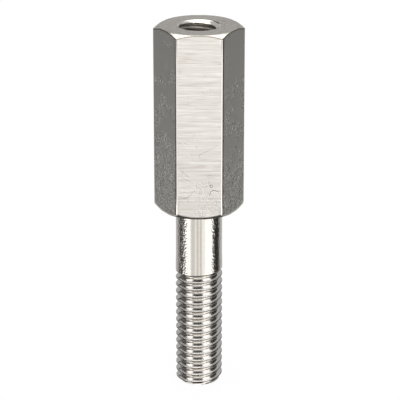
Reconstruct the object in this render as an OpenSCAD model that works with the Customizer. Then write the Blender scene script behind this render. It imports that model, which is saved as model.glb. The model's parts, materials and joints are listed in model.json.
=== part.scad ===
// Hex standoff: a hexagonal spacer with a tapped hole in one end and a threaded stud on the other,
// turned in one piece from drawn hexagonal bar.
// The origin is on the axis, in the plane of the shoulder that seats on a panel.
// The body rises along +Z and the stud points down.

/* [Hex body] */
// Width across the flats
body_af = 7.94; // [6.6:0.01:12]
// Length from the shoulder to the top face
body_l = 19.05; // [15:0.05:60]
// Radius along the six long edges of the drawn bar
edge_r = 0.15; // [0.05:0.05:0.5]
// Width of each end chamfer, inward from a sharp corner of the hexagon
chamfer_w = 0.62; // [0.2:0.01:0.9]
// Angle between an end chamfer and its end face
chamfer_angle = 30; // [20:1:45]

/* [Tapped hole] */
// Diameter of the drilled bore that the thread is cut in
bore_d = 3.45; // [2.5:0.05:4.2]
// Depth of the bore at its full diameter
bore_l = 12.7; // [6:0.1:13]
// Point angle of the drill that leaves the bore's bottom
drill_angle = 118; // [90:1:140]
// Width of the countersink all round the bore
sink_w = 0.4; // [0.1:0.05:0.6]
// Included angle of the countersink
sink_angle = 90; // [60:1:120]

/* [Stud] */
// Length from the shoulder to the end of the stud
stud_l = 19.15; // [12:0.05:40]
// Length of the plain shank, down to where the thread runs out
shank_l = 6; // [2:0.05:10]
// Amount by which the shank is thinner than the thread
shank_relief = 0.06; // [0.02:0.01:0.6]
// Width of the chamfer on the stud's end
tip_chamfer = 0.4; // [0.1:0.05:0.8]

/* [Thread] */
// Diameter over the crests
thread_d = 4.8; // [4:0.01:6]
// Threads in one inch of length
threads_per_inch = 32; // [20:1:48]
// Share of a turn over which the groove deepens from nothing
runout_turns = 0.3; // [0.1:0.05:1]
// Angle round the axis at which the groove starts
start_angle = 180; // [0:5:360]

/* [Hidden] */

round_fn = 96; // turned surfaces
edge_fn = 24; // small edge radii
helix_fn = 32; // steps in one turn of the thread
overlap = 0.5; // by which cutting and joining shapes run past each other
inch = 25.4;

hex_sides = 6;
half_corner = 180 / hex_sides;
flat_r = body_af / 2;
corner_r = flat_r / cos(half_corner);
face_r = corner_r - chamfer_w;

sink_r = bore_d / 2 + sink_w;
sink_h = sink_w / tan(sink_angle / 2);
drill_point_h = bore_d / 2 / tan(drill_angle / 2);

crest_r = thread_d / 2;
shank_r = crest_r - shank_relief / 2;

// The groove of a 60 degree thread: a flat crest and a flat root with a 30 degree flank between them
flank_angle = 30;
crest_share = 1 / 8;
root_share = 1 / 4;
pitch = inch / threads_per_inch;
root_l = root_share * pitch;
flank_l = (pitch - crest_share * pitch - root_l) / 2;
thread_depth = flank_l / tan(flank_angle);
lead_l = 0.12; // crest above the start of the groove
spare_grooves = 2; // past the end of the stud
grooves = ceil((stud_l - shank_l) / pitch) + spare_grooves;
groove_points = 4;

// Radius at the bottom of the groove, t turns from where it starts
function root_r(t) = crest_r - thread_depth * min(1, t / runout_turns, (grooves - t) / runout_turns);

// The line down the rod's surface at angle step s, as [radius, distance down]
function rod_line(s) = [
    [crest_r, 0],
    for (groove = [0 : grooves - 1])
        let (t = groove + s / helix_fn, top = lead_l + t * pitch)
        each [[crest_r, top], [root_r(t), top + flank_l], [root_r(t), top + flank_l + root_l],
              [crest_r, top + 2 * flank_l + root_l]],
    [crest_r, lead_l + (grooves + 1) * pitch]
];

// Right-handed threaded rod on the Z axis, from z = 0 down
module threaded_rod() {
    last = helix_fn - 1;
    end = grooves * groove_points + 1;
    points = [
        for (s = [0 : last], p = rod_line(s))
            let (angle = start_angle - s * 360 / helix_fn)
            [p[0] * cos(angle), p[0] * sin(angle), -p[1]]
    ];
    function at(s, k) = s * (end + 1) + k;
    function quad(a, b, c, d) = [[a, b, c], [a, c, d]];
    faces = [
        for (s = [0 : last - 1], k = [0 : end - 1])
            each quad(at(s, k), at(s, k + 1), at(s + 1, k + 1), at(s + 1, k)),
        // across the start line each groove meets the next one down
        for (k = [1 : end - groove_points - 2])
            each quad(at(last, k), at(last, k + 1), at(0, k + 1 + groove_points), at(0, k + groove_points)),
        for (k = [0 : groove_points]) [at(last, 0), at(0, k + 1), at(0, k)],
        [at(last, 0), at(last, 1), at(0, groove_points + 1)],
        for (k = [end - groove_points - 1 : end - 1]) [at(0, end), at(last, k), at(last, k + 1)],
        [at(0, end), at(0, end - 1), at(last, end - groove_points - 1)],
        [for (s = [0 : last]) at(s, 0)],
        [for (s = [last : -1 : 0]) at(s, end)]
    ];
    polyhedron(points, faces, convexity = 10);
}

// Section of the drawn bar: a hexagon with rounded corners
module bar_section() {
    edge_centre_r = (flat_r - edge_r) / cos(half_corner);
    half_flat = (flat_r - edge_r) * tan(half_corner);
    polygon([
        for (i = [0 : hex_sides - 1], side = [-1, 1])
            let (a = (2 * i + 1) * half_corner)
            [flat_r * cos(a) - side * half_flat * sin(a), flat_r * sin(a) + side * half_flat * cos(a)]
    ]);
    for (i = [0 : hex_sides - 1])
        rotate(2 * i * half_corner) translate([edge_centre_r, 0]) circle(r = edge_r, $fn = edge_fn);
}

// Everything inside the chamfer cones of the two end faces
module chamfer_envelope() {
    outer_r = corner_r + overlap;
    drop = (outer_r - face_r) * tan(chamfer_angle);
    rotate_extrude($fn = round_fn) polygon([
        [0, 0], [face_r, 0], [outer_r, drop],
        [outer_r, body_l - drop], [face_r, body_l], [0, body_l]
    ]);
}

// Drilled and countersunk hole, with its mouth at z = 0
module tapped_hole() {
    rotate_extrude($fn = round_fn) polygon([
        [0, overlap], [sink_r, overlap], [sink_r, 0], [bore_d / 2, -sink_h],
        [bore_d / 2, -bore_l], [0, -bore_l - drill_point_h]
    ]);
}

module body() {
    difference() {
        intersection() {
            linear_extrude(body_l) bar_section();
            chamfer_envelope();
        }
        translate([0, 0, body_l]) tapped_hole();
    }
}

module stud() {
    outer_r = crest_r + overlap;
    // the shank ends inside the lead of the threaded rod
    shank_end = -shank_l - lead_l / 2;
    translate([0, 0, shank_end]) cylinder(r = shank_r, h = overlap - shank_end, $fn = round_fn);
    intersection() {
        translate([0, 0, -shank_l]) threaded_rod();
        rotate_extrude($fn = round_fn) polygon([
            [0, 0], [outer_r, 0], [outer_r, tip_chamfer + overlap - stud_l],
            [crest_r - tip_chamfer, -stud_l], [0, -stud_l]
        ]);
    }
}

module standoff() {
    color("#b9b6b0") union() {
        body();
        stud();
    }
}

standoff();
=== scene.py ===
import json
import math

import bmesh
import bpy
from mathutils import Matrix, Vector


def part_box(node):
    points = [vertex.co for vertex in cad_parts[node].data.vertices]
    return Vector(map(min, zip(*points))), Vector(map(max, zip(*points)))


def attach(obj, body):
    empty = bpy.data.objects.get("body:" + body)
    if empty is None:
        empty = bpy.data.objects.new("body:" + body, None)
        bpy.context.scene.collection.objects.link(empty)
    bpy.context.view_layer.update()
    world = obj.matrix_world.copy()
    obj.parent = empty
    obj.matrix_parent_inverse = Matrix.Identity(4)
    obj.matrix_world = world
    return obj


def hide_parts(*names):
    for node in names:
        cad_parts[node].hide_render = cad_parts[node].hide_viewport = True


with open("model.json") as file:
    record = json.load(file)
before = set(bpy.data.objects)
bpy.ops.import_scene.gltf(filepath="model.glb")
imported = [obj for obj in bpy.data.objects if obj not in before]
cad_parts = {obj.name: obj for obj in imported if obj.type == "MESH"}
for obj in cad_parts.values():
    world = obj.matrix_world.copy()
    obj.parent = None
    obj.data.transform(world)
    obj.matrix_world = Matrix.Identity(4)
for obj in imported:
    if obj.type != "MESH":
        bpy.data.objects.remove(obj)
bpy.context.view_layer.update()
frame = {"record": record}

mm = 0.001    # sizes below are in millimetres and turn to metres as they become vertices
weld = 1e-4   # points this close are one point


def mountSizes(name):
    mount = next(m for m in frame["record"]["mounts"] if m["name"] == name)
    return mount["dims"]["r_mm"], mount["dims"]["length_mm"]


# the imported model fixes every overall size
lowest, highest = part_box("standoff")
flatRadius = highest.y / mm
bodyLength = highest.z / mm
studLength = -lowest.z / mm
shankRadius, shankLength = mountSizes("stud_shank")
boreRadius, boreLength = mountSizes("tapped_hole")
inch = 25.4
threadsPerInch = 32
pitch = inch / threadsPerInch


cameraSetup = {
    "azimuth": -0.55,      # degrees round the axis from straight ahead
    "elevation": 20.04,    # degrees above the horizon
    "distance": 204.44,
    "lookHeight": 0.65,    # above the shoulder
    "aside": 0.1,          # to the right of the axis
    "lens": 180.4,         # on a 36 mm sensor
    "clipStart": 10,
}


def addCamera(setup):
    turn, tilt = math.radians(setup["azimuth"]), math.radians(setup["elevation"])
    back = Vector((math.sin(turn) * math.cos(tilt), -math.cos(turn) * math.cos(tilt), math.sin(tilt)))
    right = Vector((math.cos(turn), math.sin(turn), 0))
    target = right * setup["aside"] + Vector((0, 0, setup["lookHeight"]))
    camera = bpy.data.objects.new("camera", bpy.data.cameras.new("camera"))
    camera.data.lens = setup["lens"]
    camera.data.clip_start = setup["clipStart"] * mm
    camera.location = (target + back * setup["distance"]) * mm
    camera.rotation_euler = (-back).to_track_quat("-Z", "Y").to_euler()
    bpy.context.scene.collection.objects.link(camera)
    bpy.context.scene.camera = camera


addCamera(cameraSetup)
print("camera ready")


def ringAt(bm, points):
    return [bm.verts.new(Vector(p) * mm) for p in points]


def skin(bm, rings, finish):
    # finish is one material index, or a list with one for each face round the ring
    finishes = finish if isinstance(finish, list) else [finish] * len(rings[0])
    for lower, upper in zip(rings, rings[1:]):
        for i in range(len(lower)):
            face = bm.faces.new((lower[i - 1], lower[i], upper[i], upper[i - 1]))
            face.material_index = finishes[i]


def fillBetween(bm, outer, inner, finish):
    edges = [bm.edges.get((ring[i - 1], ring[i])) for ring in (outer, inner) for i in range(len(ring))]
    filled = bmesh.ops.triangle_fill(bm, use_beauty=True, edges=edges)
    for face in (g for g in filled["geom"] if isinstance(g, bmesh.types.BMFace)):
        face.material_index = finish


def fanTo(bm, ring, point, finish):
    tip = bm.verts.new(Vector(point) * mm)
    for i in range(len(ring)):
        bm.faces.new((ring[i - 1], ring[i], tip)).material_index = finish


def lerp(a, b, t):
    return a + (b - a) * t


def clamp(t):
    return max(0.0, min(1.0, t))


def smooth(t):
    t = clamp(t)
    return t * t * (3 - 2 * t)


def roundCorner(before, corner, after, radius, steps):
    # points of an arc that touches both legs of a corner
    toBefore, toAfter = (before - corner).normalized(), (after - corner).normalized()
    half = toBefore.angle(toAfter) / 2
    centre = corner + (toBefore + toAfter).normalized() * (radius / math.sin(half))
    start = corner + toBefore * (radius / math.tan(half)) - centre
    end = corner + toAfter * (radius / math.tan(half)) - centre
    sweep = start.angle(end)
    points = []
    for i in range(steps + 1):
        spoke = start * math.sin(sweep * (1 - i / steps)) + end * math.sin(sweep * i / steps)
        points.append(centre + spoke / math.sin(sweep))
    return points


hexBody = {
    "sides": 6,
    "edgeRadius": 0.19,       # along the six long edges of the drawn bar
    "edgeSteps": 6,
    "rubbedRadius": 0.42,     # where the edges of the front and back flats run out on to the slanting flats
    "rubbedSteps": 2,
    "rubbedFirst": (1, 4),    # corners where those are the first steps of the edge
    "rubbedLast": (2, 5),     # and the last
    "flatSteps": 14,
    "levels": 8,
    "chamferWidth": 0.62,     # inward from a sharp corner of the hexagon
    "chamferAngle": 30,
    "leastChamfer": 0.05,     # deburring that runs on across the middle of each flat
    "faceBreak": 0.015,       # rounding between the end face and the chamfer
    "faceRing": 3,            # a ring this many times further in keeps the end face's shading flat
    "flatBreak": 0.09,        # rounding between the upper chamfer and the flats
    "shoulderBreak": 0.24,    # and between the lower one and the flats
    "breakMost": 0.6,         # the most that either takes of the chamfer's own width
    "breakSpots": ((0.5, 0.3), (0.85, 1.0)),   # shares outward and down of the rounding's inner points
}
halfCorner = 180 / hexBody["sides"]
brushed, burnished, turned, polished, rolled, shadedCut = range(6)


def roundedEdge(middle, radii):
    # an arc from one flat to the next, with a radius for each of its steps, that ends on both of them
    first, last = middle - halfCorner, middle + halfCorner
    points = [Vector((0, 0))]
    normals = []
    for i in range(len(radii) + 1):
        a = math.radians(lerp(first, last, i / len(radii)))
        normals.append(Vector((math.cos(a), math.sin(a))))
    for i, radius in enumerate(radii):
        points.append(points[-1] + (normals[i + 1] - normals[i]) * radius)
    before = flatRadius - normals[0].dot(points[0])
    after = flatRadius - normals[-1].dot(points[-1])
    # the shift that puts the first point on one flat and the last point on the other
    overlap = normals[0].dot(normals[-1])
    along = (after - before * overlap) / (1 - overlap * overlap)
    shift = normals[0] * (before - along * overlap) + normals[-1] * along
    return [p + shift for p in points]


def barSection():
    # outline of the bar, with its first corner on the X axis
    rubbed = hexBody["rubbedSteps"]
    corners = []
    for corner in range(hexBody["sides"]):
        radii = [hexBody["edgeRadius"]] * hexBody["edgeSteps"]
        if corner in hexBody["rubbedFirst"]:
            radii[:rubbed] = [hexBody["rubbedRadius"]] * rubbed
        elif corner in hexBody["rubbedLast"]:
            radii[-rubbed:] = [hexBody["rubbedRadius"]] * rubbed
        corners.append(roundedEdge(2 * halfCorner * corner, radii))
    outline = []
    steps = hexBody["flatSteps"]
    for arc, nextArc in zip(corners, corners[1:] + corners[:1]):
        outline += arc
        outline += [arc[-1].lerp(nextArc[0], i / steps) for i in range(1, steps)]
    return outline


def chamferRings(section, end, inward, flatBreak):
    # rings round one end, from the end face over the chamfer to where the flats begin
    slope = math.radians(hexBody["chamferAngle"])
    faceRadius = flatRadius / math.cos(math.radians(halfCorner)) - hexBody["chamferWidth"]
    faceBreak = hexBody["faceBreak"]
    columns = []
    for p in section:
        outer = p.length
        face = min(faceRadius, outer - hexBody["leastChamfer"])
        foot = (outer - face) * math.tan(slope)
        along = min(flatBreak, hexBody["breakMost"] * (outer - face))
        reach, depth = outer - along * math.cos(slope), foot - along * math.sin(slope)
        spots = [
            (face - hexBody["faceRing"] * faceBreak, 0),
            (face - faceBreak, 0),
            (face + faceBreak * math.cos(slope), faceBreak * math.sin(slope)),
            (reach, depth),
        ]
        spots += [(lerp(reach, outer, out), lerp(depth, foot, down)) for out, down in hexBody["breakSpots"]]
        spots.append((outer, foot + flatBreak))
        columns.append([(p.x / outer * r, p.y / outer * r, end + inward * down) for r, down in spots])
    return list(zip(*columns))


def buildBody(bm):
    section = barSection()
    bottom = [ringAt(bm, ring) for ring in chamferRings(section, 0, 1, hexBody["shoulderBreak"])]
    top = [ringAt(bm, ring) for ring in chamferRings(section, bodyLength, -1, hexBody["flatBreak"])]
    levels = []
    for i in range(1, hexBody["levels"]):
        share = i / hexBody["levels"]
        levels.append(ringAt(bm, [
            (p.x, p.y, lerp(low.co.z / mm, high.co.z / mm, share))
            for p, low, high in zip(section, bottom[-1], top[-1])
        ]))
    skin(bm, bottom, turned)
    perCorner = hexBody["edgeSteps"] + hexBody["flatSteps"]
    onEdge = [1 <= i % perCorner <= hexBody["edgeSteps"] for i in range(len(section))]
    skin(bm, [bottom[-1], *levels, top[-1]], [burnished if edge else brushed for edge in onEdge])
    # the upper chamfer's foot gets a thin line of painted shade, the rest of it is turned bright
    skin(bm, [top[-1], top[-2]], shadedCut)
    skin(bm, top[-2::-1], turned)
    return bottom[0], top[0]


threadForm = {
    "lines": 132,         # lines down the surface, round one turn
    "flankAngle": 30,
    "crestShare": 1 / 8,  # of the pitch
    "rootShare": 1 / 4,
    "arcSteps": 3,
    "flankSteps": 4,
    "spareTurns": 2,      # past both ends, cut off there
}
flankSlope = math.tan(math.radians(threadForm["flankAngle"]))


def threadProfile(depth, crest, root, crestRadius, rootRadius):
    # one turn's outline as (distance down, depth), from the middle of a crest to just before the next
    flank = (pitch - crest - root) / 2
    rootStart = crest / 2 + flank
    corners = [
        Vector((-crest / 2, 0)), Vector((crest / 2, 0)), Vector((rootStart, depth)),
        Vector((rootStart + root, depth)), Vector((pitch - crest / 2, 0)), Vector((pitch + crest / 2, 0)),
    ]
    radii = [crestRadius, rootRadius, rootRadius, crestRadius]
    onFlank = threadForm["flankSteps"]
    points = []
    for i, radius in enumerate(radii):
        arc = roundCorner(corners[i], corners[i + 1], corners[i + 2], radius, threadForm["arcSteps"])
        if i in (1, 3):
            # a flank leads to this corner
            last = points[-1]
            points += [last.lerp(arc[0], step / onFlank) for step in range(1, onFlank)]
        points += arc
    if (points[-1] - Vector((pitch, 0)) - points[0]).length < weld:
        points.pop()
    return points


def collapseBeyond(line, top, bottom):
    # rows are (turns, depth, height); those past an end plane move to where the line crosses it
    first = next(i for i, row in enumerate(line) if row[2] < top)
    last = max(i for i, row in enumerate(line) if row[2] > bottom)

    def crossing(inside, outside, plane):
        share = (plane - inside[2]) / (outside[2] - inside[2])
        return lerp(inside[0], outside[0], share), lerp(inside[1], outside[1], share), plane

    start = crossing(line[first], line[first - 1], top)
    stop = crossing(line[last], line[last + 1], bottom)
    return [start] * first + line[first:last + 1] + [stop] * (len(line) - last - 1)


def weaveThread(bm, profile, start, startAngle, turns, radiusAt, top, bottom, finishAt):
    # the surface is woven from lines running down it, each a little lower than the one before
    count = threadForm["lines"]
    spare = threadForm["spareTurns"]
    woven, finishes = [], []
    for j in range(count):
        angle = math.radians(startAngle - 360 * j / count)
        line = []
        for turn in range(-spare, turns + spare):
            t = turn + j / count
            line += [(t, depth, start - t * pitch - down) for down, depth in profile]
        line = collapseBeyond(line, top, bottom)
        points = [(radiusAt(*row), row[2]) for row in line]
        finishes.append([finishAt(*row) for row in line])
        woven.append(ringAt(bm, [(r * math.cos(angle), r * math.sin(angle), z) for r, z in points]))
    for j, line in enumerate(woven):
        beside = woven[(j + 1) % count]
        # the last line meets the first one a turn further down
        shift = len(profile) if j == count - 1 else 0
        for k in range(len(line) - 1 - shift):
            corners = (line[k], line[k + 1], beside[k + 1 + shift], beside[k + shift])
            bm.faces.new(corners).material_index = finishes[j][k]


def circle(radius, z, startAngle):
    count = threadForm["lines"]
    angles = [math.radians(startAngle - 360 * j / count) for j in range(count)]
    return [(radius * math.cos(a), radius * math.sin(a), z) for a in angles]


stud = {
    "crestRadius": 2.4,
    "grooveStart": 6.12,    # below the shoulder, at the left
    "startAngle": 180,
    "runoutTurns": 0.3,
    "rootRadius": 0.11,
    "taperLength": 1.0,     # over which the shank widens to the crests
    "tipChamfer": 0.4,
    "shadedEdge": 0.1,        # a line of painted shade, down from the middle of the crest above the first groove
    "fillet": 0.1,          # under the shoulder
    "filletSteps": 4,
}


def studRadius(t, depth, z):
    crest = stud["crestRadius"]
    # the tip's chamfer is at 45 degrees
    tip = crest - stud["tipChamfer"] + max(z + studLength, 0)
    return min(crest - depth * smooth(t / stud["runoutTurns"]), tip)


def studFinish(t, depth, z):
    # the edge above the first groove gets a line of painted shade
    down = -stud["grooveStart"] - t * pitch - z
    if t < 0:
        return polished
    return shadedCut if t < 1 and 0 < down < stud["shadedEdge"] else rolled


def buildStud(bm):
    crestFlat = threadForm["crestShare"] * pitch
    rootFlat = threadForm["rootShare"] * pitch
    depth = (pitch - crestFlat - rootFlat) / 2 / flankSlope
    fullRound = crestFlat / 2 / flankSlope   # leaves nothing of the crest's flat
    profile = threadProfile(depth, crestFlat, rootFlat, fullRound, stud["rootRadius"])
    angle = stud["startAngle"]
    fillet = stud["fillet"]
    rings = []
    for i in range(stud["filletSteps"] + 1):
        a = math.radians(90 * i / stud["filletSteps"])
        radius, z = shankRadius + fillet * (1 - math.sin(a)), -fillet * (1 - math.cos(a))
        rings.append(ringAt(bm, circle(radius, z, angle)))
    rings.append(ringAt(bm, circle(shankRadius, stud["taperLength"] - shankLength, angle)))
    rings.append(ringAt(bm, circle(stud["crestRadius"], -shankLength, angle)))
    skin(bm, rings, polished)
    weaveThread(
        bm, profile, -stud["grooveStart"], angle, math.ceil((studLength - shankLength) / pitch),
        studRadius, -shankLength, -studLength, studFinish)
    return rings[0]


tappedHole = {
    "sinkRadius": 2.125,
    "majorRadius": 2.083,
    "rootShare": 1 / 8,
    "crestRadius": 0.03,
    "rootRadius": 0.04,
    "threadEnd": 10.8,     # below the top face
    "runoutTurns": 0.5,
    "drillAngle": 118,
    "edgeBreak": 0.05,
    "mouthRing": 2,        # a ring this many times further out keeps the top face's shading flat
    "startAngle": 115,
}


def sinkRadiusAt(z):
    # the countersink has a right angle across it
    return tappedHole["sinkRadius"] - (bodyLength - z)


def holeRadius(t, depth, z):
    fade = smooth((tappedHole["threadEnd"] - t * pitch) / (tappedHole["runoutTurns"] * pitch))
    return max(boreRadius + depth * fade, sinkRadiusAt(z))


def holeFinish(t, depth, z):
    return burnished if holeRadius(t, depth, z) == sinkRadiusAt(z) else shadedCut


def buildHole(bm):
    depth = tappedHole["majorRadius"] - boreRadius
    rootFlat = tappedHole["rootShare"] * pitch
    crestFlat = pitch - rootFlat - 2 * depth * flankSlope
    profile = threadProfile(depth, crestFlat, rootFlat, tappedHole["crestRadius"], tappedHole["rootRadius"])
    sink, edge, angle = tappedHole["sinkRadius"], tappedHole["edgeBreak"], tappedHole["startAngle"]
    lip = bodyLength - edge
    around = ringAt(bm, circle(sink + tappedHole["mouthRing"] * edge, bodyLength, angle))
    mouth = ringAt(bm, circle(sink + edge, bodyLength, angle))
    wall = ringAt(bm, circle(sink - edge, lip, angle))
    skin(bm, [around, mouth], turned)
    skin(bm, [mouth, wall], burnished)
    stop = bodyLength - tappedHole["threadEnd"] - pitch
    turns = math.ceil(tappedHole["threadEnd"] / pitch)
    weaveThread(bm, profile, bodyLength, angle, turns, holeRadius, lip, stop, holeFinish)
    # the plain bore is measured from the foot of the countersink
    drilled = bodyLength - (sink - boreRadius) - boreLength
    lower = [ringAt(bm, circle(boreRadius, z, angle)) for z in (stop, drilled)]
    skin(bm, lower, shadedCut)
    point = boreRadius / math.tan(math.radians(tappedHole["drillAngle"] / 2))
    fanTo(bm, lower[-1], (0, 0, drilled - point), shadedCut)
    return around


def linear(hexColour):
    # sRGB hex to the linear values that a shader takes
    parts = [int(hexColour[i:i + 2], 16) / 255 for i in (1, 3, 5)]
    return tuple(c / 12.92 if c <= 0.04045 else ((c + 0.055) / 1.055) ** 2.4 for c in parts) + (1.0,)


white = linear("#ffffff")
colourFrom, colourTo = 6, 7   # the colour sockets of a Mix node
noiseMiddle = 0.5             # what a noise swings about
acrossMarks = 0.25            # of a turn, lays the highlight across tool marks that run round the axis
seenAhead = (1, 0, 1)         # keeps x and z of a place
seenFromAbove = (1, 1, 0)     # keeps x and y


def emptyTree(owner):
    owner.use_nodes = True
    owner.node_tree.nodes.clear()
    return owner.node_tree


def addNode(tree, kind, settings=None, links=None):
    # a link may start at a socket, or at a node whose first live output is meant
    node = tree.nodes.new(kind)
    for name, value in (settings or {}).items():
        if isinstance(name, int) or name in node.inputs:
            node.inputs[name].default_value = value
        else:
            setattr(node, name, value)
    for name, source in (links or {}).items():
        if isinstance(source, bpy.types.Node):
            source = next(socket for socket in source.outputs if socket.enabled)
        tree.links.new(source, node.inputs[name])
    return node


def newSteel(name):
    # an empty material, and the place on the object in millimetres, which its patterns are drawn by
    material = bpy.data.materials.new(name)
    tree = emptyTree(material)
    coords = addNode(tree, "ShaderNodeTexCoord")
    inMm = addNode(tree, "ShaderNodeMapping", {
        "Scale": (1 / mm,) * 3}, {"Vector": coords.outputs["Object"]})
    return material, tree, inMm


def addSteel(tree, look, height, links=None):
    # the metal itself, with a relief of this height in mm
    tangent = addNode(tree, "ShaderNodeTangent", {"direction_type": "RADIAL", "axis": "Z"})
    bump = addNode(tree, "ShaderNodeBump", {"Distance": mm}, {"Height": height})
    shader = addNode(tree, "ShaderNodeBsdfPrincipled", {
        "Base Color": linear(look["colour"]), "Metallic": 1.0, "Roughness": look["roughness"],
        "Anisotropic": look["anisotropy"], "Anisotropic Rotation": acrossMarks,
    }, {"Tangent": tangent, "Normal": bump, **(links or {})})
    addNode(tree, "ShaderNodeOutputMaterial", links={"Surface": shader})


def addGrain(tree, inMm, look):
    # an uneven skin
    grain = addNode(tree, "ShaderNodeMapping", {"Scale": look["grainPerMm"]}, {"Vector": inMm})
    grain = addNode(tree, "ShaderNodeTexNoise", {
        "Scale": 1.0, "Detail": look["grainDetail"]}, {"Vector": grain})
    return addNode(tree, "ShaderNodeMath", {"operation": "MULTIPLY", 1: look["grainHeight"]}, {0: grain})


crossBrushed = {
    "colour": "#e0d9d0",                # at the bottom of the brushed lines
    "lineLight": "#fefaf5",             # and at their tops
    "slantShade": "#d6d2cb",            # painted shade on the four slanting flats
    # painted shade in the dents, curled marks and scratches
    "markShade": "#6f6a63",
    "roughness": 0.4,
    "anisotropy": 0.6,
    # a fine belt's own scratches are a few hundredths of a millimetre apart and wouldn't show, so they are
    # drawn coarser: how many there are to a millimetre, and the noise that draws them
    "streaks": [
        ((0.1, 0.1, 6), {"Detail": 2.0, "Roughness": 0.6}),   # straight ones about 0.15 mm apart
        ((0.3, 0.3, 11), {"Detail": 1.0}),                    # with finer ones between them
        ((0.7, 0.7, 6), {"Detail": 0.0}),                     # each shows for 1 or 2 mm and fades
    ],
    "fading": {"From Min": 0.35, "From Max": 0.65, "To Max": 1.8},   # by the last of those
    "lineSwing": 0.28,                  # either way of the middle, to the deepest and the highest
    "lineHeight": 0.0016,
    "slant": {"From Min": 0.8, "From Max": 0.6},   # the share of a flat's normal that points ahead or behind
    "sideLines": 0.25,                  # how much of the brushing the slanting flats show
    "frontMarks": 0.42,                 # how much of the handling the front and back flats show
    "patches": {"Scale": 0.5, "Detail": 3.0},      # about 2 mm across, in which marks crowd together
    "topCrowd": -0.13,                  # fewer of them at the top
    "shoulderCrowd": 0.08,              # more at the shoulder
    "sideCrowd": 0.06,                  # and more still on the slanting flats
    "dentsPerMm": (2.9, 2.9, 2.4),      # room for one in each cell, about 0.4 mm wide
    "dentWander": {"Scale": 4.5, "Detail": 1.0},
    "dentWarp": 0.35,                   # how far that moves their outlines, in mm
    "dentChance": {"From Min": 0.45, "From Max": 0.62, "To Max": 0.6},   # by how far marks crowd there
    "dentSize": {"To Min": 0.25, "To Max": 0.6},   # the radius, in cells
    "dentFloor": 0.05,                  # the flat bottom's
    "dentHeight": 0.014,
    "dentShade": 0.25,
    "dentRoughness": 0.26,              # knocks are burnished
    "rubbedFull": 0.6,                  # and fully so from this share of their depth
    "crinklesPerMm": (2.8, 2.8, 2.2),   # short curled marks left by handling in a heap
    "crinkleCurls": {"Scale": 1.0, "Detail": 1.0, "Distortion": 0.6},
    "crinkleWidth": 0.09,               # as a share of the noise that draws them
    "crinkleChance": {"From Min": 0.46, "From Max": 0.62},
    "crinkleHeight": 0.017,
    "crinkleShade": 0.14,
    # knocks and scratches on the flat that faces forward, each through three points across and up the flat,
    # then its half width and its depth
    "scars": [
        ((0.99, 2.55), (1.14, 3.0), (1.5, 3.07), 0.07, 0.014),
        ((1.14, 3.0), (1.5, 3.07), (1.92, 2.93), 0.07, 0.014),
        ((-1.65, 2.18), (-1.24, 2.31), (-0.89, 2.63), 0.06, 0.008),
        ((-1.24, 2.31), (-0.89, 2.63), (-0.51, 3.09), 0.06, 0.008),
        ((-0.08, 6.77), (0.85, 7.26), (1.75, 7.81), 0.045, 0.008),
        ((-2.05, 8.1), (-1.95, 8.0), (-1.8, 8.02), 0.05, 0.008),
        ((-1.6, 8.0), (-1.4, 8.05), (-1.2, 7.9), 0.05, 0.007),
        ((-0.45, 7.75), (-0.25, 7.6), (-0.35, 7.45), 0.05, 0.007),
        ((-1.8, 5.15), (-1.5, 4.85), (-1.1, 4.5), 0.055, 0.008),
        ((-1.6, 4.3), (-1.3, 4.2), (-1.05, 4.0), 0.05, 0.007),
        ((0.8, 4.8), (1.0, 4.6), (0.85, 4.35), 0.05, 0.006),
        ((1.05, 4.75), (1.25, 4.55), (1.3, 4.3), 0.05, 0.006),
        ((0.25, 3.8), (0.4, 3.7), (0.5, 3.75), 0.05, 0.007),
        ((-0.35, 3.65), (-0.25, 3.45), (-0.3, 3.2), 0.05, 0.006),
    ],
    "ringMark": (1.16, 3.54, 0.13, 0.07, 0.016),   # a round one's centre and radius, then the same
    "scarShade": {"From Max": 0.014, "To Max": 0.85},
    "scarReach": 0.1,                   # in from the flat, so that the other flats have none
}


def addLines(tree, inMm):
    # cross brushing: long thin streaks, 0 for the deepest and 1 for the highest
    layers = []
    for perMm, noise in crossBrushed["streaks"]:
        drawnOut = addNode(tree, "ShaderNodeMapping", {"Scale": perMm}, {"Vector": inMm})
        layers.append(addNode(tree, "ShaderNodeTexNoise", {"Scale": 1.0, **noise}, {"Vector": drawnOut}))
    coarse, fine, runs = layers
    runs = addNode(tree, "ShaderNodeMapRange", crossBrushed["fading"], {"Value": runs})
    both = addNode(tree, "ShaderNodeMath", {"operation": "ADD"}, {0: coarse, 1: fine})
    both = addNode(tree, "ShaderNodeMath", {"operation": "SUBTRACT", 1: 2 * noiseMiddle}, {0: both})
    both = addNode(tree, "ShaderNodeMath", {"operation": "MULTIPLY"}, {0: both, 1: runs})
    swing = crossBrushed["lineSwing"]
    return addNode(tree, "ShaderNodeMapRange", {"From Min": -swing, "From Max": swing}, {"Value": both})


def addPatches(tree, inMm, slanting):
    # where marks crowd together: in patches, towards the shoulder and on the slanting flats
    patches = addNode(tree, "ShaderNodeTexNoise", crossBrushed["patches"], {"Vector": inMm})
    axes = addNode(tree, "ShaderNodeSeparateXYZ", links={0: inMm})
    lower = addNode(tree, "ShaderNodeMapRange", {
        "From Min": bodyLength, "From Max": 0.0,
        "To Min": crossBrushed["topCrowd"], "To Max": crossBrushed["shoulderCrowd"],
    }, {"Value": axes.outputs["Z"]})
    crowded = addNode(tree, "ShaderNodeMath", {"operation": "ADD"}, {0: patches, 1: lower})
    return addNode(tree, "ShaderNodeMath", {
        "operation": "MULTIPLY_ADD", 1: crossBrushed["sideCrowd"]}, {0: slanting, 2: crowded})


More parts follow.
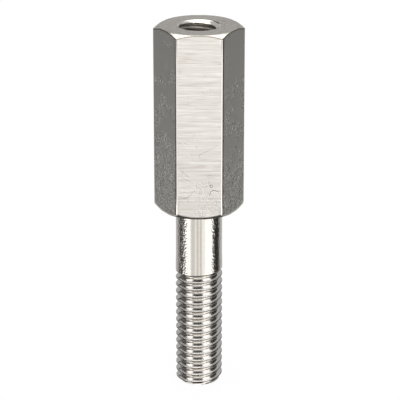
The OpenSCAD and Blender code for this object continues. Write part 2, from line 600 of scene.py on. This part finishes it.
def addDents(tree, inMm, patches):
    # shallow knocks: 0 on the sound surface and 1 at the bottom of a dent
    wander = addNode(tree, "ShaderNodeTexNoise", crossBrushed["dentWander"], {"Vector": inMm})
    shifted = addNode(tree, "ShaderNodeVectorMath", {
        "operation": "MULTIPLY_ADD", 1: (crossBrushed["dentWarp"],) * 3,
    }, {0: wander.outputs["Color"], 2: inMm})
    cells = addNode(tree, "ShaderNodeMapping", {"Scale": crossBrushed["dentsPerMm"]}, {"Vector": shifted})
    cells = addNode(tree, "ShaderNodeTexVoronoi", {"Scale": 1.0}, {"Vector": cells})
    chance = addNode(tree, "ShaderNodeSeparateColor", links={0: cells.outputs["Color"]})
    crowd = addNode(tree, "ShaderNodeMapRange", crossBrushed["dentChance"], {"Value": patches})
    present = addNode(tree, "ShaderNodeMath", {
        "operation": "LESS_THAN"}, {0: chance.outputs["Red"], 1: crowd})
    size = addNode(tree, "ShaderNodeMapRange", crossBrushed["dentSize"], {"Value": chance.outputs["Green"]})
    hollow = addNode(tree, "ShaderNodeMapRange", {
        "interpolation_type": "SMOOTHSTEP", "From Min": crossBrushed["dentFloor"],
        "To Min": 1.0, "To Max": 0.0,
    }, {"Value": cells.outputs["Distance"], "From Max": size})
    return addNode(tree, "ShaderNodeMath", {"operation": "MULTIPLY"}, {0: hollow, 1: present})


def addCrinkles(tree, inMm, patches):
    # curled hairlines: 1 along each line and 0 away from it
    curls = addNode(tree, "ShaderNodeMapping", {"Scale": crossBrushed["crinklesPerMm"]}, {"Vector": inMm})
    curls = addNode(tree, "ShaderNodeTexNoise", crossBrushed["crinkleCurls"], {"Vector": curls})
    offLine = addNode(tree, "ShaderNodeMath", {"operation": "SUBTRACT", 1: noiseMiddle}, {0: curls})
    offLine = addNode(tree, "ShaderNodeMath", {"operation": "ABSOLUTE"}, {0: offLine})
    line = addNode(tree, "ShaderNodeMapRange", {
        "interpolation_type": "SMOOTHSTEP", "From Max": crossBrushed["crinkleWidth"],
        "To Min": 1.0, "To Max": 0.0,
    }, {"Value": offLine})
    crowd = addNode(tree, "ShaderNodeMapRange", {
        "interpolation_type": "SMOOTHSTEP", **crossBrushed["crinkleChance"]}, {"Value": patches})
    return addNode(tree, "ShaderNodeMath", {"operation": "MULTIPLY"}, {0: line, 1: crowd})


def addScars(tree, inMm):
    # how deep the few known marks go, in mm
    grooves = []
    flat = addNode(tree, "ShaderNodeVectorMath", {"operation": "MULTIPLY", 1: seenAhead}, {0: inMm})
    for start, bend, stop, width, depth in crossBrushed["scars"]:
        for a, b in ((start, bend), (bend, stop)):
            run = Vector((b[0] - a[0], 0, b[1] - a[1]))
            fromStart = addNode(tree, "ShaderNodeVectorMath", {
                "operation": "SUBTRACT", 1: (a[0], 0, a[1])}, {0: flat})
            share = addNode(tree, "ShaderNodeVectorMath", {
                "operation": "DOT_PRODUCT", 1: run / run.length_squared}, {0: fromStart})
            share = addNode(tree, "ShaderNodeClamp", links={0: share.outputs["Value"]})
            nearest = addNode(tree, "ShaderNodeVectorMath", {
                "operation": "SCALE", 0: run}, {"Scale": share})
            away = addNode(tree, "ShaderNodeVectorMath", {
                "operation": "DISTANCE"}, {0: fromStart, 1: nearest})
            grooves.append((away.outputs["Value"], width, depth))
    x, z, radius, width, depth = crossBrushed["ringMark"]
    centre = addNode(tree, "ShaderNodeVectorMath", {"operation": "DISTANCE", 1: (x, 0, z)}, {0: flat})
    offRing = addNode(tree, "ShaderNodeMath", {
        "operation": "SUBTRACT", 1: radius}, {0: centre.outputs["Value"]})
    offRing = addNode(tree, "ShaderNodeMath", {"operation": "ABSOLUTE"}, {0: offRing})
    grooves.append((offRing, width, depth))
    deepest = None
    for away, width, depth in grooves:
        groove = addNode(tree, "ShaderNodeMapRange", {
            "interpolation_type": "SMOOTHSTEP", "From Max": width, "To Min": depth, "To Max": 0.0,
        }, {"Value": away})
        if deepest is None:
            deepest = groove
        else:
            deepest = addNode(tree, "ShaderNodeMath", {"operation": "MAXIMUM"}, {0: deepest, 1: groove})
    axes = addNode(tree, "ShaderNodeSeparateXYZ", links={0: inMm})
    front = addNode(tree, "ShaderNodeMath", {
        "operation": "LESS_THAN", 1: crossBrushed["scarReach"] - flatRadius}, {0: axes.outputs["Y"]})
    return addNode(tree, "ShaderNodeMath", {"operation": "MULTIPLY"}, {0: deepest, 1: front})


def brushedFlats():
    # Cross-brushed stainless steel: flats dressed across the bar with a fine abrasive belt. Fine level
    # streaks smear reflections upwards into a soft satin sheen, and handling has left small dents and
    # scratches, which are darkened with painted shade.
    material, tree, inMm = newSteel("cross_brushed_stainless_steel")
    # the flats to the front and back were dressed last and show the brushing; the four slanting ones are
    # duller and show more of the handling, and are painted darker as painted shade
    facing = addNode(tree, "ShaderNodeTexCoord")
    facing = addNode(tree, "ShaderNodeSeparateXYZ", links={0: facing.outputs["Normal"]})
    facing = addNode(tree, "ShaderNodeMath", {"operation": "ABSOLUTE"}, {0: facing.outputs["Y"]})
    slanting = addNode(tree, "ShaderNodeMapRange", crossBrushed["slant"], {"Value": facing})
    dressed = addNode(tree, "ShaderNodeMapRange", {
        "To Min": 1.0, "To Max": crossBrushed["sideLines"]}, {"Value": slanting})
    knocked = addNode(tree, "ShaderNodeMapRange", {
        "To Min": crossBrushed["frontMarks"], "To Max": 1.0}, {"Value": slanting})
    patches = addPatches(tree, inMm, slanting)
    dents, crinkles = [
        addNode(tree, "ShaderNodeMath", {"operation": "MULTIPLY"}, {0: marks, 1: knocked})
        for marks in (addDents(tree, inMm, patches), addCrinkles(tree, inMm, patches))
    ]
    scars = addScars(tree, inMm)
    fromMiddle = addNode(tree, "ShaderNodeMath", {
        "operation": "SUBTRACT", 1: noiseMiddle}, {0: addLines(tree, inMm)})
    lines = addNode(tree, "ShaderNodeMath", {
        "operation": "MULTIPLY_ADD", 2: noiseMiddle}, {0: fromMiddle, 1: dressed})
    # painted shade: dents, curled marks and scratches darken where they sink in
    scarTone = addNode(tree, "ShaderNodeMapRange", crossBrushed["scarShade"], {"Value": scars})
    dentTone = addNode(tree, "ShaderNodeMath", {
        "operation": "MULTIPLY", 1: crossBrushed["dentShade"]}, {0: dents})
    paintedMarkShade = addNode(tree, "ShaderNodeMath", {"operation": "MAXIMUM"}, {0: scarTone, 1: dentTone})
    paintedMarkShade = addNode(tree, "ShaderNodeMath", {
        "operation": "MULTIPLY_ADD", 1: crossBrushed["crinkleShade"]}, {0: crinkles, 2: paintedMarkShade})
    tone = addNode(tree, "ShaderNodeMix", {
        "data_type": "RGBA", colourFrom: linear(crossBrushed["colour"]),
        colourTo: linear(crossBrushed["lineLight"])}, {0: lines})
    # painted shade: the slanting flats, then the marks, are mixed darker
    for share, colour in ((slanting, "slantShade"), (paintedMarkShade, "markShade")):
        tone = addNode(tree, "ShaderNodeMix", {
            "data_type": "RGBA", colourTo: linear(crossBrushed[colour])}, {0: share, colourFrom: tone})
    rubbed = addNode(tree, "ShaderNodeMath", {"operation": "MAXIMUM"}, {0: dents, 1: crinkles})
    polish = addNode(tree, "ShaderNodeMapRange", {
        "From Max": crossBrushed["rubbedFull"],
        "To Min": crossBrushed["roughness"], "To Max": crossBrushed["dentRoughness"],
    }, {"Value": rubbed})
    height = addNode(tree, "ShaderNodeMath", {
        "operation": "MULTIPLY", 1: crossBrushed["lineHeight"]}, {0: lines})
    for key, marks in (("dentHeight", dents), ("crinkleHeight", crinkles)):
        height = addNode(tree, "ShaderNodeMath", {
            "operation": "MULTIPLY_ADD", 1: -crossBrushed[key]}, {0: marks, 2: height})
    height = addNode(tree, "ShaderNodeMath", {"operation": "SUBTRACT"}, {0: height, 1: scars})
    addSteel(tree, crossBrushed, height, {"Base Color": tone, "Roughness": polish})
    return material


burnishedPart = {
    "colour": "#e6e1da",
    "roughness": 0.12,
    "anisotropy": 0.0,
    "grainPerMm": (2, 2, 0.5),   # slow ripples, drawn out along the bar
    "grainDetail": 3.0,
    "grainHeight": 0.0006,
}


def burnishedParts():
    # Burnished stainless steel: the bar's corners, rubbed by the drawing die, and the countersink, rubbed by
    # its tool. Bright and smooth, so that a corner catches a thin line and the countersink mirrors the room.
    material, tree, inMm = newSteel("burnished_stainless_steel")
    addSteel(tree, burnishedPart, addGrain(tree, inMm, burnishedPart))
    return material


turnedFace = {
    "colour": "#cac5bd",
    "markDark": "#b4ada4",
    "roughness": 0.24,
    "anisotropy": 0.4,
    "rings": {"noise_dimensions": "1D", "Scale": 9, "Detail": 2.0},   # about 0.1 mm apart, the tool's feed
    "ringHeight": 0.0008,
    "stains": {"Scale": 2.2, "Detail": 3.0},                          # about half a millimetre across
    "stained": {"From Min": 0.45, "From Max": 0.7},
}


def turnedFaces():
    # Turned stainless steel: faced and chamfered in the lathe, with faint rings from the tool's feed and an
    # even soft grey shine.
    material, tree, inMm = newSteel("turned_stainless_steel")
    across = addNode(tree, "ShaderNodeVectorMath", {"operation": "MULTIPLY", 1: seenFromAbove}, {0: inMm})
    reach = addNode(tree, "ShaderNodeVectorMath", {"operation": "LENGTH"}, {0: across})
    rings = addNode(tree, "ShaderNodeTexNoise", turnedFace["rings"], {"W": reach.outputs["Value"]})
    height = addNode(tree, "ShaderNodeMath", {
        "operation": "MULTIPLY", 1: turnedFace["ringHeight"]}, {0: rings})
    stain = addNode(tree, "ShaderNodeTexNoise", turnedFace["stains"], {"Vector": inMm})
    stain = addNode(tree, "ShaderNodeMapRange", turnedFace["stained"], {"Value": stain})
    tone = addNode(tree, "ShaderNodeMix", {
        "data_type": "RGBA", colourFrom: linear(turnedFace["colour"]),
        colourTo: linear(turnedFace["markDark"])}, {0: stain})
    addSteel(tree, turnedFace, height, {"Base Color": tone})
    return material


bareShank = {
    "colour": "#cfcac2",
    "roughness": 0.08,
    "anisotropy": 0.7,
    "dimplesPerMm": (5.5, 5.5, 5),   # drawn about 0.2 mm across; a real peel is finer and wouldn't show
    "dimpleDetail": 1.0,
    "cleanHeight": 0.005,            # across the front and back, where the finish is cleaner
    "leftHeight": 0.055,
    "rightHeight": 0.035,
    "cleanWithin": 1.05,             # to either side of the axis
    "roughBeyond": 1.4,
    "grainPerMm": (0.3, 0.3, 12),    # turning lines, under 0.1 mm apart
    "grainDetail": 1.0,
    "grainHeight": 0.0002,
}


def polishedShank():
    # Polished stainless steel: a turned shank burnished bright, close to a mirror, with a fine orange peel
    # that breaks up the edges of reflections.
    material, tree, inMm = newSteel("polished_stainless_steel")
    dimples = addNode(tree, "ShaderNodeMapping", {"Scale": bareShank["dimplesPerMm"]}, {"Vector": inMm})
    dimples = addNode(tree, "ShaderNodeTexNoise", {
        "Scale": 1.0, "Detail": bareShank["dimpleDetail"]}, {"Vector": dimples})
    axes = addNode(tree, "ShaderNodeSeparateXYZ", links={0: inMm})
    left, right = [
        addNode(tree, "ShaderNodeMapRange", {
            "From Min": side * bareShank["cleanWithin"], "From Max": side * bareShank["roughBeyond"],
            "To Min": bareShank["cleanHeight"], "To Max": bareShank[key],
        }, {"Value": axes.outputs["X"]})
        for side, key in ((-1, "leftHeight"), (1, "rightHeight"))
    ]
    peel = addNode(tree, "ShaderNodeMath", {"operation": "MAXIMUM"}, {0: left, 1: right})
    turning = addGrain(tree, inMm, bareShank)
    height = addNode(tree, "ShaderNodeMath", {
        "operation": "MULTIPLY_ADD"}, {0: dimples, 1: peel, 2: turning})
    addSteel(tree, bareShank, height)
    return material


rolledFinish = {
    "colour": "#d9d6d2",
    "roughness": 0.14,
    "anisotropy": 0.0,
    "grainPerMm": (4, 4, 4),         # slight unevenness, about 0.25 mm across
    "grainDetail": 2.0,
    "grainHeight": 0.005,
    # two tones of painted shade by the distance from the axis: where each starts and where it is full
    "rootShade": "#bcb7b0",         # painted shade in the roots
    "rootRadii": {"From Min": 2.06, "From Max": 1.99},
    "crestShade": "#c6c3bf",        # painted shade on the crests
    "crestRadii": {"From Min": 2.3, "From Max": 2.37},
}


def rolledThread():
    # Rolled stainless steel: flanks pressed smooth between dies, as bright as the shank. Roots and crests
    # are painted darker, as painted shade.
    material, tree, inMm = newSteel("rolled_stainless_steel")
    across = addNode(tree, "ShaderNodeVectorMath", {"operation": "MULTIPLY", 1: seenFromAbove}, {0: inMm})
    reach = addNode(tree, "ShaderNodeVectorMath", {"operation": "LENGTH"}, {0: across})
    inRoot, onCrest = [
        addNode(tree, "ShaderNodeMapRange", rolledFinish[radii], {"Value": reach.outputs["Value"]})
        for radii in ("rootRadii", "crestRadii")
    ]
    tone = addNode(tree, "ShaderNodeMix", {
        "data_type": "RGBA", colourFrom: linear(rolledFinish["colour"]),
        colourTo: linear(rolledFinish["rootShade"])}, {0: inRoot})
    tone = addNode(tree, "ShaderNodeMix", {
        "data_type": "RGBA", colourTo: linear(rolledFinish["crestShade"])}, {0: onCrest, colourFrom: tone})
    addSteel(tree, rolledFinish, addGrain(tree, inMm, rolledFinish), {"Base Color": tone})
    return material


shadedCutFinish = {
    # painted shade: far darker than bare steel
    "colour": "#938e86",
    "roughness": 0.45,
    "anisotropy": 0.0,
    "grainPerMm": (4, 4, 4),   # drawn about 0.25 mm across; the real torn grain is finer and wouldn't show
    "grainDetail": 2.0,
    "grainHeight": 0.005,
}


def shadedCutSteel():
    # Cut stainless steel: left dull by the tap inside the bore, and painted dark there as painted shade, so
    # that the hole reads dark. At the upper chamfer's foot and the first groove's edge it gives a thin grey
    # line of painted shade.
    material, tree, inMm = newSteel("shaded_cut_stainless_steel")
    addSteel(tree, shadedCutFinish, addGrain(tree, inMm, shadedCutFinish))
    return material


shading = {
    "sharpFrom": 40,    # degrees between faces
    "faceWeight": 80,   # how far large faces rule the normals of the corners they share
}


def buildStandoff():
    bm = bmesh.new()
    shoulder, topEdge = buildBody(bm)
    fillBetween(bm, topEdge, buildHole(bm), turned)
    fillBetween(bm, shoulder, buildStud(bm), turned)
    bmesh.ops.remove_doubles(bm, verts=bm.verts, dist=weld * mm)
    # the only opening left is the end of the stud
    rim = [e for e in bm.edges if len(e.link_faces) < 2]
    end = bmesh.ops.contextual_create(bm, geom=rim)
    for face in end["faces"]:
        face.material_index = turned
    bmesh.ops.recalc_face_normals(bm, faces=bm.faces)
    print("faces", len(bm.faces), "loose edges", len([e for e in bm.edges if len(e.link_faces) != 2]))
    mesh = bpy.data.meshes.new("standoff_body")
    bm.to_mesh(mesh)
    bm.free()
    mesh.shade_smooth()
    mesh.set_sharp_from_angle(angle=math.radians(shading["sharpFrom"]))
    piece = bpy.data.objects.new("standoff_body", mesh)
    bpy.context.scene.collection.objects.link(piece)
    # in the order of the finishes' numbers
    for finish in (brushedFlats, burnishedParts, turnedFaces, polishedShank, rolledThread, shadedCutSteel):
        mesh.materials.append(finish())
    normals = piece.modifiers.new("weighted normals", "WEIGHTED_NORMAL")
    normals.keep_sharp = True
    normals.weight = shading["faceWeight"]
    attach(piece, "root")
    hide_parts("standoff")


buildStandoff()
print("standoff built")


studio = {
    # brightness by direction round the object, below the horizon: degrees from straight ahead, and the grey
    "around": [
        (-180, 0.64), (-127, 0.64), (-118, 0.07), (-90, 0.02), (-65, 0.05), (-59, 0.9), (-54, 1.8),
        (-47, 1.8), (-41, 1.1), (-35, 0.97), (-26, 0.94), (-20, 1.15), (-16, 1.36), (-11, 0.98), (-7, 0.84),
        (-3, 1.12), (2, 1.28), (7, 0.88), (11, 0.94), (16, 1.4), (20, 1.5), (25, 1.26), (30, 1.55),
        (34, 1.8), (59, 1.8), (65, 0.8), (71, 0.08), (86, 0.03), (117, 0.05), (126, 0.64), (180, 0.64),
    ],
    # greys laid over that one after another, each held by limits (measure, where it starts, where it is
    # full): height is the sine of the angle above the horizon, turn the degrees from straight ahead, aside
    # the same without its sign, slope the lean aside from straight up, and behind the share that points away
    "panels": [
        # open room at either side, low down
        (0.6, [("height", -0.46, -0.56), ("aside", 98, 106)]),
        # the table's lit surface, left and right
        (2.6, [("height", -0.36, -0.43), ("turn", -96, -72), ("turn", -37, -53)]),
        (2.7, [("height", -0.38, -0.46), ("turn", 20, 30), ("turn", 90, 70)]),
        # the table's dark edge in the middle, and its shaded ends
        (0.05, [("height", -0.46, -0.56), ("turn", -44, -36), ("turn", 26, 18)]),
        (0.08, [("height", -0.46, -0.56), ("turn", -88, -94), ("turn", -108, -102)]),
        (0.08, [("height", -0.46, -0.56), ("turn", 66, 74), ("turn", 112, 104)]),
        # dim wall above the side windows
        (0.5, [("height", -0.19, -0.1), ("aside", 30, 40)]),
        # dark boards at either side
        (0.06, [("height", -0.24, -0.14), ("height", 0.38, 0.28), ("turn", -82, -90), ("turn", -146, -138)]),
        (0.06, [("height", -0.24, -0.14), ("height", 0.46, 0.38), ("turn", 82, 90), ("turn", 146, 138)]),
        # a dim sill under the left one
        (0.18, [("height", -0.335, -0.28), ("height", 0, -0.06), ("turn", -84, -92), ("turn", -131, -123)]),
        # grey wall behind
        (0.53, [("height", 0.1, 0.25), ("aside", 140, 150)]),
        # a dark ledge ahead, under the panel
        (0.05, [("height", -0.25, -0.22), ("height", -0.07, -0.1), ("aside", 34, 26)]),
        # a large soft panel above and ahead
        (4.0, [("height", 0.05, 0.3), ("aside", 42, 32)]),
        # the ceiling, and the soft light in its middle
        (0.55, [("height", 0.5, 0.6)]),
        (2.7, [
            ("height", 0.5, 0.6), ("slope", 0.49, 0.43),
            ("behind", -0.45, -0.33), ("behind", 0.73, 0.62),
        ]),
        # its near part, dimmer and wider, to the left and to the right
        (2.0, [
            ("height", 0.5, 0.6), ("slope", 0.98, 0.9), ("turn", 0, -4),
            ("behind", -0.45, -0.33), ("behind", 0.2, 0.14),
        ]),
        (2.0, [
            ("height", 0.5, 0.6), ("slope", 0.66, 0.6), ("turn", 0, 4),
            ("behind", -0.45, -0.33), ("behind", 0.12, 0.07),
        ]),
        # the dark gap between that and the panel ahead
        (0.25, [("height", 0.5, 0.57), ("behind", -0.42, -0.55)]),
        # a dark beam behind, to the left
        (0.02, [("height", 0.37, 0.43), ("height", 0.74, 0.68), ("turn", -142, -148), ("turn", -176, -172)]),
        # the shade under the table, and behind its edge
        (0.06, [("height", -0.68, -0.74)]),
        (0.06, [("height", -0.4, -0.5), ("aside", 156, 164)]),
    ],
}


def buildStudio():
    world = bpy.data.worlds.new("studio")
    bpy.context.scene.world = world
    tree = emptyTree(world)
    coords = addNode(tree, "ShaderNodeTexCoord")
    axes = addNode(tree, "ShaderNodeSeparateXYZ", links={0: coords.outputs["Generated"]})
    ahead = addNode(tree, "ShaderNodeMath", {"operation": "MULTIPLY", 1: -1.0}, {0: axes.outputs["Y"]})
    turn = addNode(tree, "ShaderNodeMath", {"operation": "ARCTAN2"}, {0: axes.outputs["X"], 1: ahead})
    degrees = addNode(tree, "ShaderNodeMath", {"operation": "DEGREES"}, {0: turn})
    first, last = float(studio["around"][0][0]), float(studio["around"][-1][0])
    share = addNode(tree, "ShaderNodeMapRange", {"From Min": first, "From Max": last}, {"Value": degrees})
    ramp = addNode(tree, "ShaderNodeValToRGB", links={0: share})
    stops = ramp.color_ramp.elements
    ready = len(stops)
    for i, (angle, grey) in enumerate(studio["around"]):
        stop = stops[i] if i < ready else stops.new(1.0)
        stop.position = (angle - first) / (last - first)
        stop.color = (grey, grey, grey, 1)
    aside = addNode(tree, "ShaderNodeMath", {"operation": "ABSOLUTE"}, {0: degrees})
    slope = addNode(tree, "ShaderNodeMath", {
        "operation": "DIVIDE"}, {0: axes.outputs["X"], 1: axes.outputs["Z"]})
    slope = addNode(tree, "ShaderNodeMath", {"operation": "ABSOLUTE"}, {0: slope})
    measures = {
        "height": axes.outputs["Z"], "behind": axes.outputs["Y"],
        "turn": degrees, "aside": aside, "slope": slope,
    }
    colour = ramp
    for grey, limits in studio["panels"]:
        cover = None
        for measure, start, full in limits:
            inside = addNode(tree, "ShaderNodeMapRange", {
                "interpolation_type": "SMOOTHSTEP", "From Min": float(start), "From Max": float(full),
            }, {"Value": measures[measure]})
            if cover is None:
                cover = inside
            else:
                cover = addNode(tree, "ShaderNodeMath", {"operation": "MULTIPLY"}, {0: cover, 1: inside})
        colour = addNode(tree, "ShaderNodeMix", {
            "data_type": "RGBA", colourTo: (grey, grey, grey, 1)}, {0: cover, colourFrom: colour})
    room = addNode(tree, "ShaderNodeBackground", {"Strength": 1.0}, {"Color": colour})
    ground = addNode(tree, "ShaderNodeBackground", {"Color": white, "Strength": 1.0})
    path = addNode(tree, "ShaderNodeLightPath")
    both = addNode(tree, "ShaderNodeMixShader", links={
        0: path.outputs["Is Camera Ray"], 1: room, 2: ground})
    addNode(tree, "ShaderNodeOutputWorld", links={"Surface": both})


floorSetup = {
    "halfSide": 1.5,       # in metres
    "paper": "#f5f5f5",
    "whiteShare": 0.94,    # of what the camera sees in the paper is plain white
}


def buildFloor():
    side = floorSetup["halfSide"]
    corners = [(x * side, y * side, lowest.z) for x, y in ((-1, -1), (1, -1), (1, 1), (-1, 1))]
    mesh = bpy.data.meshes.new("floor")
    mesh.from_pydata(corners, [], [(0, 1, 2, 3)])
    floor = bpy.data.objects.new("floor", mesh)
    bpy.context.scene.collection.objects.link(floor)
    floor.visible_glossy = False
    # White paper: matt, and it takes only a faint soft shadow.
    material = bpy.data.materials.new("matt_white_paper")
    tree = emptyTree(material)
    paper = addNode(tree, "ShaderNodeBsdfDiffuse", {"Color": linear(floorSetup["paper"])})
    glow = addNode(tree, "ShaderNodeEmission", {"Color": white, "Strength": 1.0})
    path = addNode(tree, "ShaderNodeLightPath")
    share = addNode(tree, "ShaderNodeMath", {
        "operation": "MULTIPLY", 1: floorSetup["whiteShare"]}, {0: path.outputs["Is Camera Ray"]})
    both = addNode(tree, "ShaderNodeMixShader", links={0: share, 1: paper, 2: glow})
    addNode(tree, "ShaderNodeOutputMaterial", links={"Surface": both})
    mesh.materials.append(material)


buildStudio()
buildFloor()
bpy.context.scene.view_settings.view_transform = "Standard"
print("studio ready")
